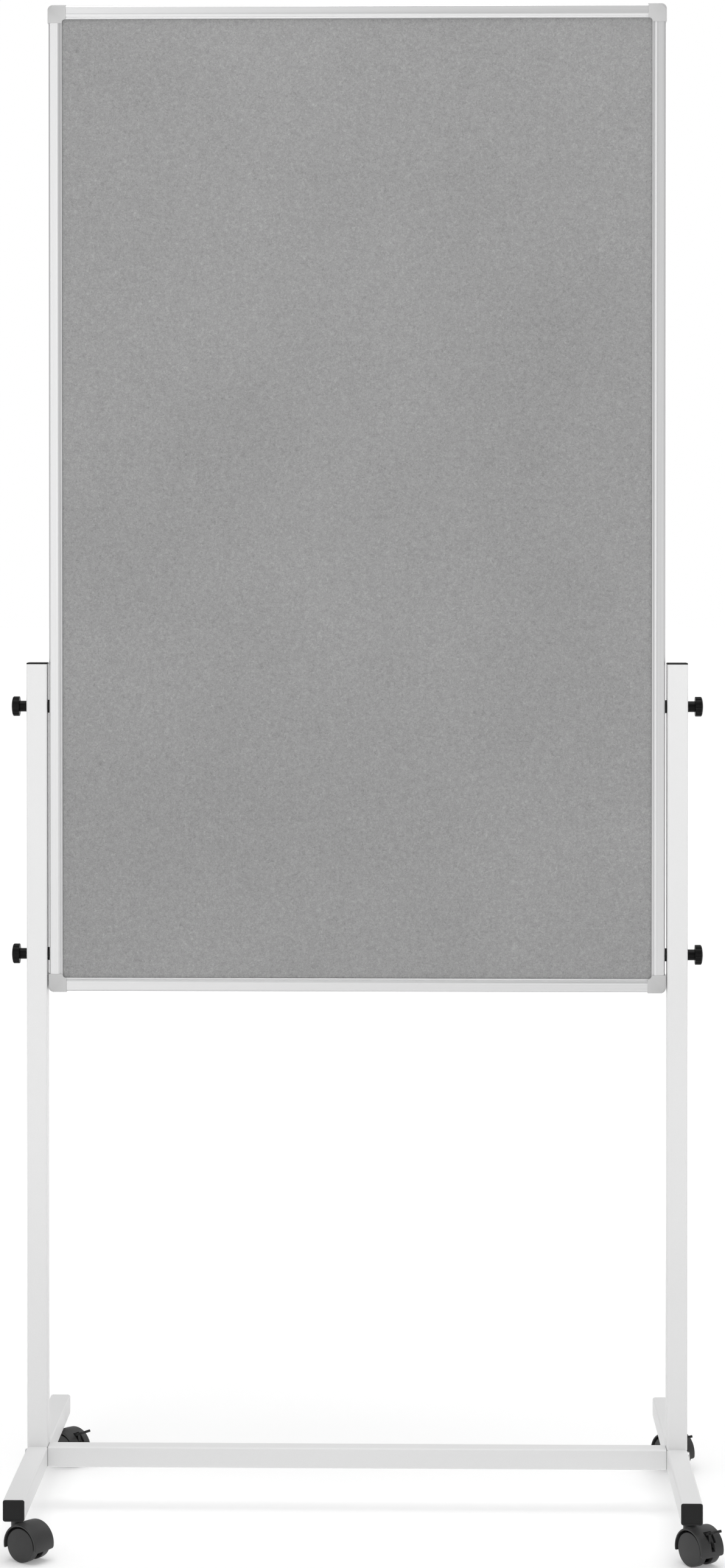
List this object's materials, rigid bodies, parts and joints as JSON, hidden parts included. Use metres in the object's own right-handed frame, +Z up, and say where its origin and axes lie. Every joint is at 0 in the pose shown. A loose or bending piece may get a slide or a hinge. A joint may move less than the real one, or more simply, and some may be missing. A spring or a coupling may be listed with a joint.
{
  "type": "rolling whiteboard",
  "caption": "Double-sided portrait board, grey felt pinboard and dry-erase back, clamped by star knobs between square-tube uprights on a wheeled base with braked twin-wheel casters.",
  "frame": {"origin": "on the floor, midway between the two uprights", "axes": "+X to the right as the felt side is faced, +Y away from the person facing it, +Z up; the felt faces -Y"},
  "size_m": [0.8492, 0.512, 1.835],
  "materials": {
    "tube_white": "satin powder coat",
    "cap_black": "fine matt",
    "steel_zinc": "bright zinc plate",
    "spacer_black": "matt",
    "insert_plastic": "matt",
    "frame_aluminium": "silver anodised",
    "corner_grey": "fine matt",
    "felt_grey": "short needle felt",
    "fibreboard": "soft fibreboard",
    "hardboard": "hardboard",
    "writing_white": "gloss enamel",
    "knob_black": "fine matt",
    "hood_black": "fine spark-eroded texture",
    "wheel_black": "satin nylon",
    "brake_black": "satin nylon"
  },
  "bodies": {
    "stand": {"upright_left": "tube_white", "upright_right": "tube_white", "foot_left": "tube_white", "foot_right": "tube_white", "crossbar": "tube_white", "upright_cap_left": "cap_black", "upright_cap_right": "cap_black", "foot_cap_front_left": "cap_black", "foot_cap_front_right": "cap_black", "foot_cap_rear_left": "cap_black", "foot_cap_rear_right": "cap_black", "upright_plugs": "steel_zinc", "upright_bolts": "steel_zinc", "crossbar_plugs": "insert_plastic", "crossbar_bolts": "steel_zinc", "spacer_washers": "spacer_black", "slide_nuts": "steel_zinc", "caster_inserts": "insert_plastic", "caster_stems": "steel_zinc"},
    "board": {"frame_top": "frame_aluminium", "frame_bottom": "frame_aluminium", "frame_left": "frame_aluminium", "frame_right": "frame_aluminium", "corner_top_left": "corner_grey", "corner_top_right": "corner_grey", "corner_bottom_left": "corner_grey", "corner_bottom_right": "corner_grey", "felt_cover": "felt_grey", "pinboard_core": "fibreboard", "backing_board": "hardboard", "whiteboard_sheet": "writing_white", "corner_screws": "steel_zinc"},
    "clamp_upper_left": {"knob_upper_left": "knob_black", "stud_upper_left": "steel_zinc"},
    "clamp_upper_right": {"knob_upper_right": "knob_black", "stud_upper_right": "steel_zinc"},
    "clamp_lower_left": {"knob_lower_left": "knob_black", "stud_lower_left": "steel_zinc"},
    "clamp_lower_right": {"knob_lower_right": "knob_black", "stud_lower_right": "steel_zinc"},
    "caster_front_left": {"hood_front_left": "hood_black", "axle_front_left": "steel_zinc"},
    "roll_front_left_a": {"wheel_front_left_a": "wheel_black"},
    "roll_front_left_b": {"wheel_front_left_b": "wheel_black"},
    "caster_front_right": {"hood_front_right": "hood_black", "axle_front_right": "steel_zinc"},
    "roll_front_right_a": {"wheel_front_right_a": "wheel_black"},
    "roll_front_right_b": {"wheel_front_right_b": "wheel_black"},
    "lever_front_right": {"brake_front_right": "brake_black"},
    "caster_rear_left": {"hood_rear_left": "hood_black", "axle_rear_left": "steel_zinc"},
    "roll_rear_left_a": {"wheel_rear_left_a": "wheel_black"},
    "roll_rear_left_b": {"wheel_rear_left_b": "wheel_black"},
    "lever_rear_left": {"brake_rear_left": "brake_black"},
    "caster_rear_right": {"hood_rear_right": "hood_black", "axle_rear_right": "steel_zinc"},
    "roll_rear_right_a": {"wheel_rear_right_a": "wheel_black"},
    "roll_rear_right_b": {"wheel_rear_right_b": "wheel_black"},
    "lever_rear_right": {"brake_rear_right": "brake_black"}
  },
  "joints": [
    {"name": "board_height", "type": "slide", "parent": "stand", "child": "board", "axis": [0, 0, 1], "range_m": [-0.54, 0.01]},
    {"name": "knob_upper_left_turn", "type": "hinge", "parent": "stand", "child": "clamp_upper_left", "pos_m": [-0.4075, 0, 0.9815], "axis": [-1, 0, 0], "range_deg": [0, 540]},
    {"name": "knob_upper_right_turn", "type": "hinge", "parent": "stand", "child": "clamp_upper_right", "pos_m": [0.4075, 0, 0.9815], "axis": [1, 0, 0], "range_deg": [0, 540]},
    {"name": "knob_lower_left_turn", "type": "hinge", "parent": "stand", "child": "clamp_lower_left", "pos_m": [-0.4075, 0, 0.679], "axis": [-1, 0, 0], "range_deg": [0, 540]},
    {"name": "knob_lower_right_turn", "type": "hinge", "parent": "stand", "child": "clamp_lower_right", "pos_m": [0.4075, 0, 0.679], "axis": [1, 0, 0], "range_deg": [0, 540]},
    {"name": "swivel_front_left", "type": "hinge", "parent": "stand", "child": "caster_front_left", "pos_m": [-0.39, -0.215, 0.04], "axis": [0, 0, 1], "continuous": true},
    {"name": "wheel_front_left_a_spin", "type": "hinge", "parent": "caster_front_left", "child": "roll_front_left_a", "pos_m": [-0.37574, -0.22462, 0.02], "axis": [0.5592, 0.829, 0], "continuous": true},
    {"name": "wheel_front_left_b_spin", "type": "hinge", "parent": "caster_front_left", "child": "roll_front_left_b", "pos_m": [-0.37574, -0.22462, 0.02], "axis": [0.5592, 0.829, 0], "continuous": true},
    {"name": "swivel_front_right", "type": "hinge", "parent": "stand", "child": "caster_front_right", "pos_m": [0.39, -0.215, 0.04], "axis": [0, 0, 1], "continuous": true},
    {"name": "wheel_front_right_a_spin", "type": "hinge", "parent": "caster_front_right", "child": "roll_front_right_a", "pos_m": [0.40011, -0.22892, 0.02], "axis": [0.809, 0.5878, 0], "continuous": true},
    {"name": "wheel_front_right_b_spin", "type": "hinge", "parent": "caster_front_right", "child": "roll_front_right_b", "pos_m": [0.40011, -0.22892, 0.02], "axis": [0.809, 0.5878, 0], "continuous": true},
    {"name": "brake_front_right_press", "type": "hinge", "parent": "caster_front_right", "child": "lever_front_right", "pos_m": [0.40804, -0.23984, 0.0295], "axis": [0.809, 0.5878, 0], "range_deg": [0, 16]},
    {"name": "swivel_rear_left", "type": "hinge", "parent": "stand", "child": "caster_rear_left", "pos_m": [-0.39, 0.215, 0.04], "axis": [0, 0, 1], "continuous": true},
    {"name": "wheel_rear_left_a_spin", "type": "hinge", "parent": "caster_rear_left", "child": "roll_rear_left_a", "pos_m": [-0.37574, 0.20538, 0.02], "axis": [0.5592, 0.829, 0], "continuous": true},
    {"name": "wheel_rear_left_b_spin", "type": "hinge", "parent": "caster_rear_left", "child": "roll_rear_left_b", "pos_m": [-0.37574, 0.20538, 0.02], "axis": [0.5592, 0.829, 0], "continuous": true},
    {"name": "brake_rear_left_press", "type": "hinge", "parent": "caster_rear_left", "child": "lever_rear_left", "pos_m": [-0.36455, 0.19783, 0.0295], "axis": [0.5592, 0.829, 0], "range_deg": [0, 16]},
    {"name": "swivel_rear_right", "type": "hinge", "parent": "stand", "child": "caster_rear_right", "pos_m": [0.39, 0.215, 0.04], "axis": [0, 0, 1], "continuous": true},
    {"name": "wheel_rear_right_a_spin", "type": "hinge", "parent": "caster_rear_right", "child": "roll_rear_right_a", "pos_m": [0.39987, 0.20091, 0.02], "axis": [0.8192, 0.5736, 0], "continuous": true},
    {"name": "wheel_rear_right_b_spin", "type": "hinge", "parent": "caster_rear_right", "child": "roll_rear_right_b", "pos_m": [0.39987, 0.20091, 0.02], "axis": [0.8192, 0.5736, 0], "continuous": true},
    {"name": "brake_rear_right_press", "type": "hinge", "parent": "caster_rear_right", "child": "lever_rear_right", "pos_m": [0.40761, 0.18985, 0.0295], "axis": [0.8192, 0.5736, 0], "range_deg": [0, 16]}
  ]
}
